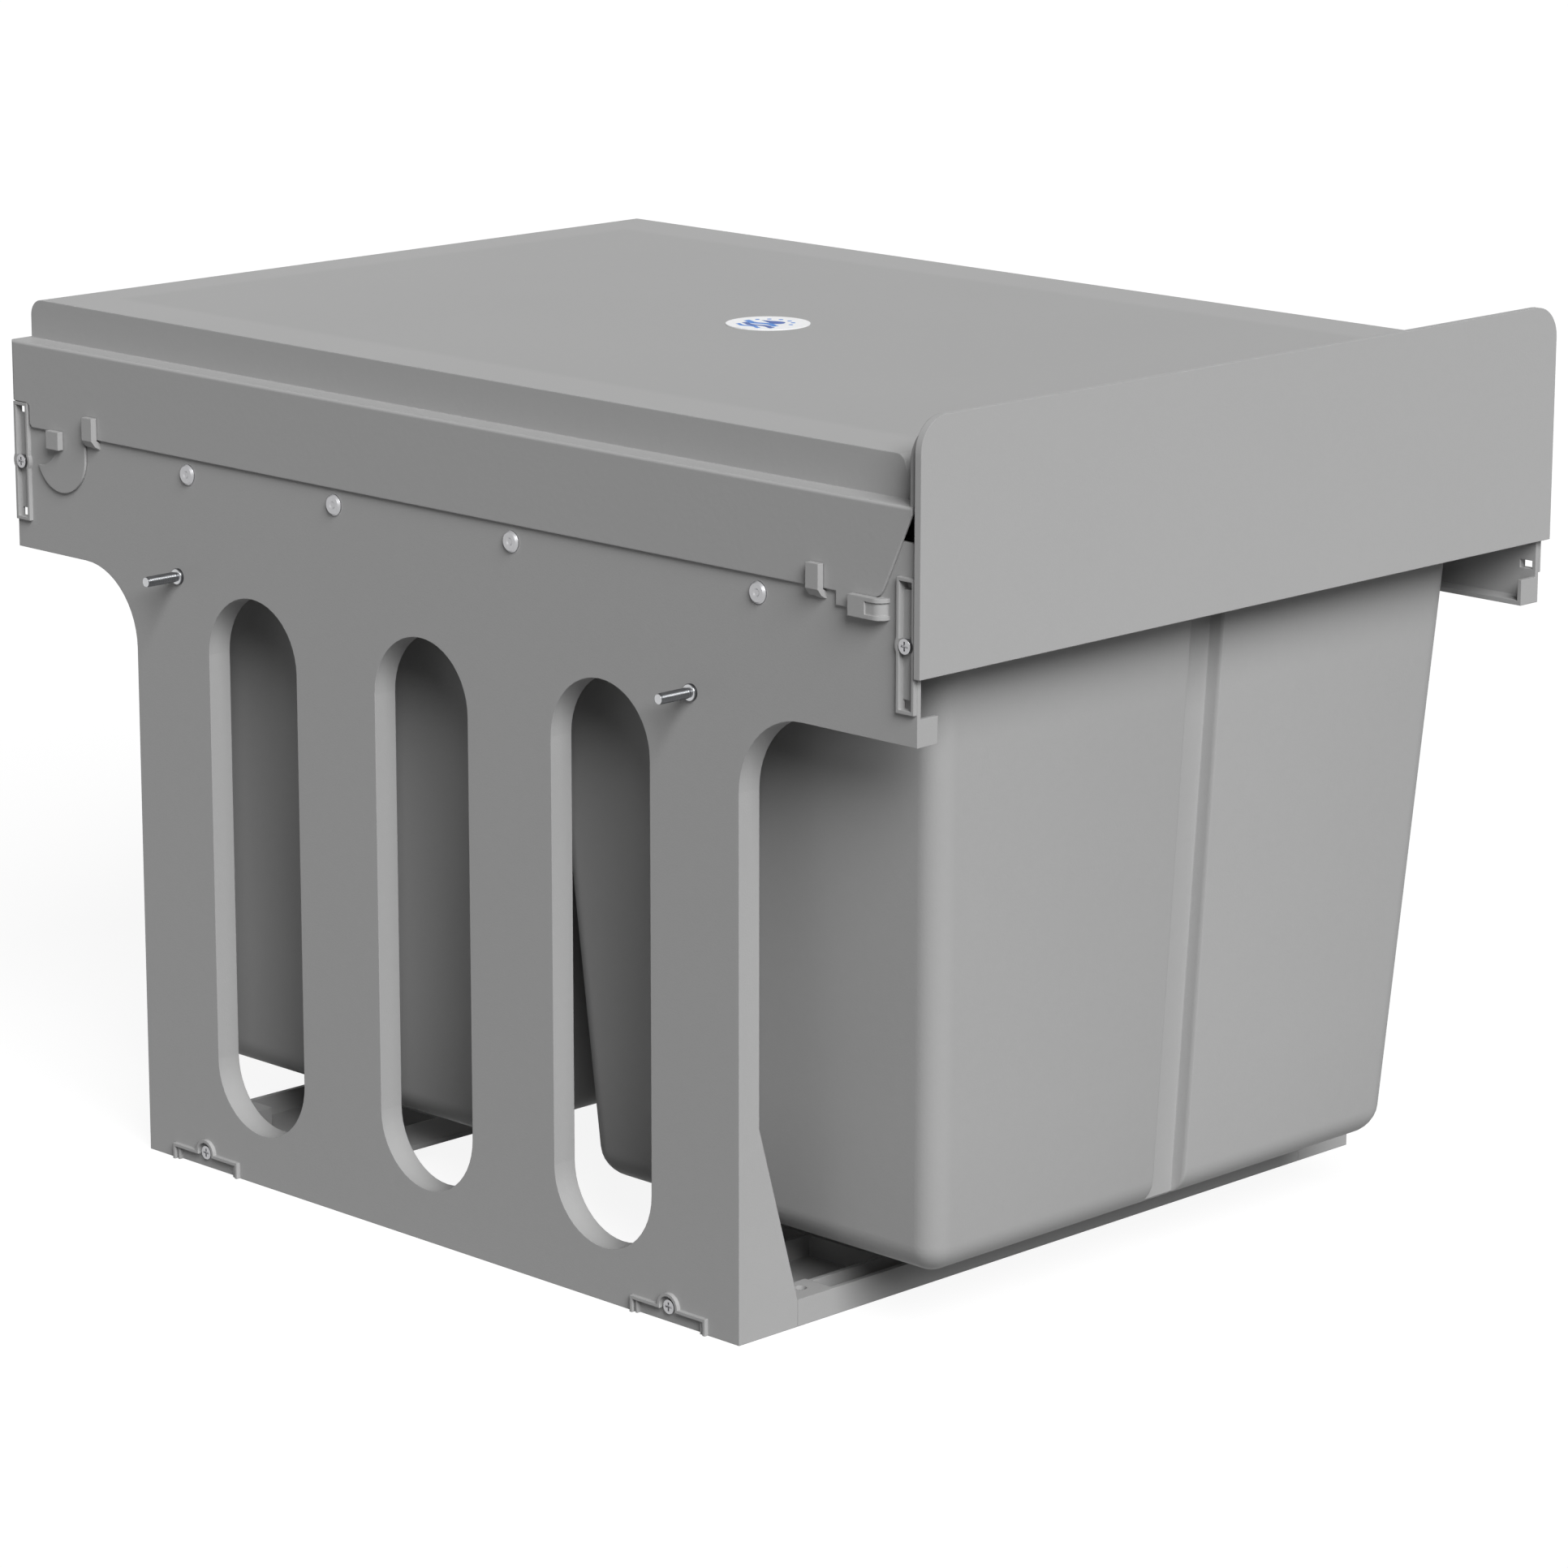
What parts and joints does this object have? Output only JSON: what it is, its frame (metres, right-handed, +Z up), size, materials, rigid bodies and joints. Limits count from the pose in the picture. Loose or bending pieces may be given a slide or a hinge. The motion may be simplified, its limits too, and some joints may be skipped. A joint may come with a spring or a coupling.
{
  "type": "pull out waste bin cabinet unit",
  "caption": "Under-counter pull-out unit with waste bins in a slotted grey housing, a hooked lid and an upright front panel on ball slides.",
  "frame": {"origin": "middle of the box's bottom face, on the floor", "axes": "+X to the unit's right seen from its front, -Y to the front, +Z up"},
  "size_m": [0.367, 0.4864, 0.3418],
  "materials": {
    "panel_plastic": "fine satin moulding",
    "front_plastic": "fine satin moulding",
    "bin_plastic": "smooth satin moulding",
    "lid_sheet": "satin powder coat",
    "rail_steel": "zinc plated",
    "cage_steel": "zinc plated",
    "frame_steel": "satin powder coat",
    "fastener_steel": "zinc plated",
    "stud_steel": "zinc plated thread",
    "label_film": "printed film"
  },
  "bodies": {
    "housing": {"base_tray": "panel_plastic", "side_panel_left": "panel_plastic", "side_panel_right": "panel_plastic", "outer_rail_left": "rail_steel", "outer_rail_right": "rail_steel", "rail_rivets": "fastener_steel", "spacer_studs": "stud_steel", "channel_screws": "fastener_steel", "clip_screws": "fastener_steel"},
    "lid": {"lid": "lid_sheet", "round_label": "label_film"},
    "carriage": {"bin_frame": "frame_steel", "front_panel": "front_plastic", "front_bin": "bin_plastic", "rear_bin": "bin_plastic", "inner_rail_left": "rail_steel", "inner_rail_right": "rail_steel", "front_panel_screws": "fastener_steel", "frame_rivets": "fastener_steel"},
    "middle_left": {"middle_rail_left": "rail_steel"},
    "middle_right": {"middle_rail_right": "rail_steel"},
    "outer_balls_left": {"outer_cage_left": "cage_steel"},
    "outer_balls_right": {"outer_cage_right": "cage_steel"},
    "inner_balls_left": {"inner_cage_left": "cage_steel"},
    "inner_balls_right": {"inner_cage_right": "cage_steel"}
  },
  "joints": [
    {"name": "carriage_slide", "type": "slide", "parent": "housing", "child": "carriage", "axis": [0, -1, 0], "range_m": [0, 0.43]},
    {"name": "middle_left_slide", "type": "slide", "parent": "housing", "child": "middle_left", "axis": [0, -1, 0], "range_m": [0, 0.215]},
    {"name": "middle_right_slide", "type": "slide", "parent": "housing", "child": "middle_right", "axis": [0, -1, 0], "range_m": [0, 0.215]},
    {"name": "outer_balls_left_slide", "type": "slide", "parent": "housing", "child": "outer_balls_left", "axis": [0, -1, 0], "range_m": [0, 0.1075]},
    {"name": "outer_balls_right_slide", "type": "slide", "parent": "housing", "child": "outer_balls_right", "axis": [0, -1, 0], "range_m": [0, 0.1075]},
    {"name": "inner_balls_left_slide", "type": "slide", "parent": "housing", "child": "inner_balls_left", "axis": [0, -1, 0], "range_m": [0, 0.3225]},
    {"name": "inner_balls_right_slide", "type": "slide", "parent": "housing", "child": "inner_balls_right", "axis": [0, -1, 0], "range_m": [0, 0.3225]},
    {"name": "lid_tilt", "type": "hinge", "parent": "housing", "child": "lid", "pos_m": [0, 0.241, 0.2899], "axis": [-1, 0, 0], "range_deg": [0, 10]}
  ],
  "couplings": [
    {"joint": "middle_left_slide", "follows": "carriage_slide", "ratio": 0.5},
    {"joint": "middle_right_slide", "follows": "carriage_slide", "ratio": 0.5},
    {"joint": "outer_balls_left_slide", "follows": "carriage_slide", "ratio": 0.25},
    {"joint": "outer_balls_right_slide", "follows": "carriage_slide", "ratio": 0.25},
    {"joint": "inner_balls_left_slide", "follows": "carriage_slide", "ratio": 0.75},
    {"joint": "inner_balls_right_slide", "follows": "carriage_slide", "ratio": 0.75}
  ]
}
